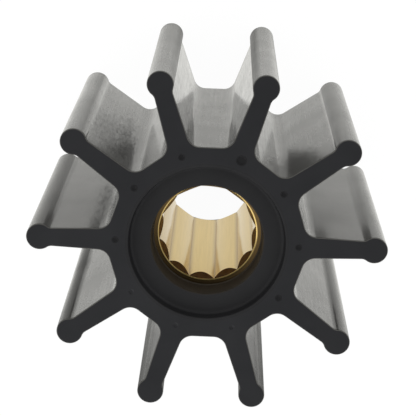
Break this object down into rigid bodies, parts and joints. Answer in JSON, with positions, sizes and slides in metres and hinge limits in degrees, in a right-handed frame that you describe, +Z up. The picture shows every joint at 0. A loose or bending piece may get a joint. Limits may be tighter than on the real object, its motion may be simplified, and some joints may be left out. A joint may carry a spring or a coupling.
{
  "type": "pump impeller",
  "caption": "Flexible-vane pump impeller: black rubber vanes with round tips on a recessed hub, moulded around a brass bush with a splined through bore.",
  "frame": {"origin": "centre of the lower end face, on the axis the impeller turns about", "axes": "+Z up along the turning axis, from one end face to the other; one vane points along +X"},
  "size_m": [0.095, 0.0906, 0.08],
  "materials": {
    "rubber": "satin",
    "brass": "machined"
  },
  "bodies": {
    "root": {"rubber_body": "rubber", "splined_bush": "brass"}
  },
  "joints": []
}
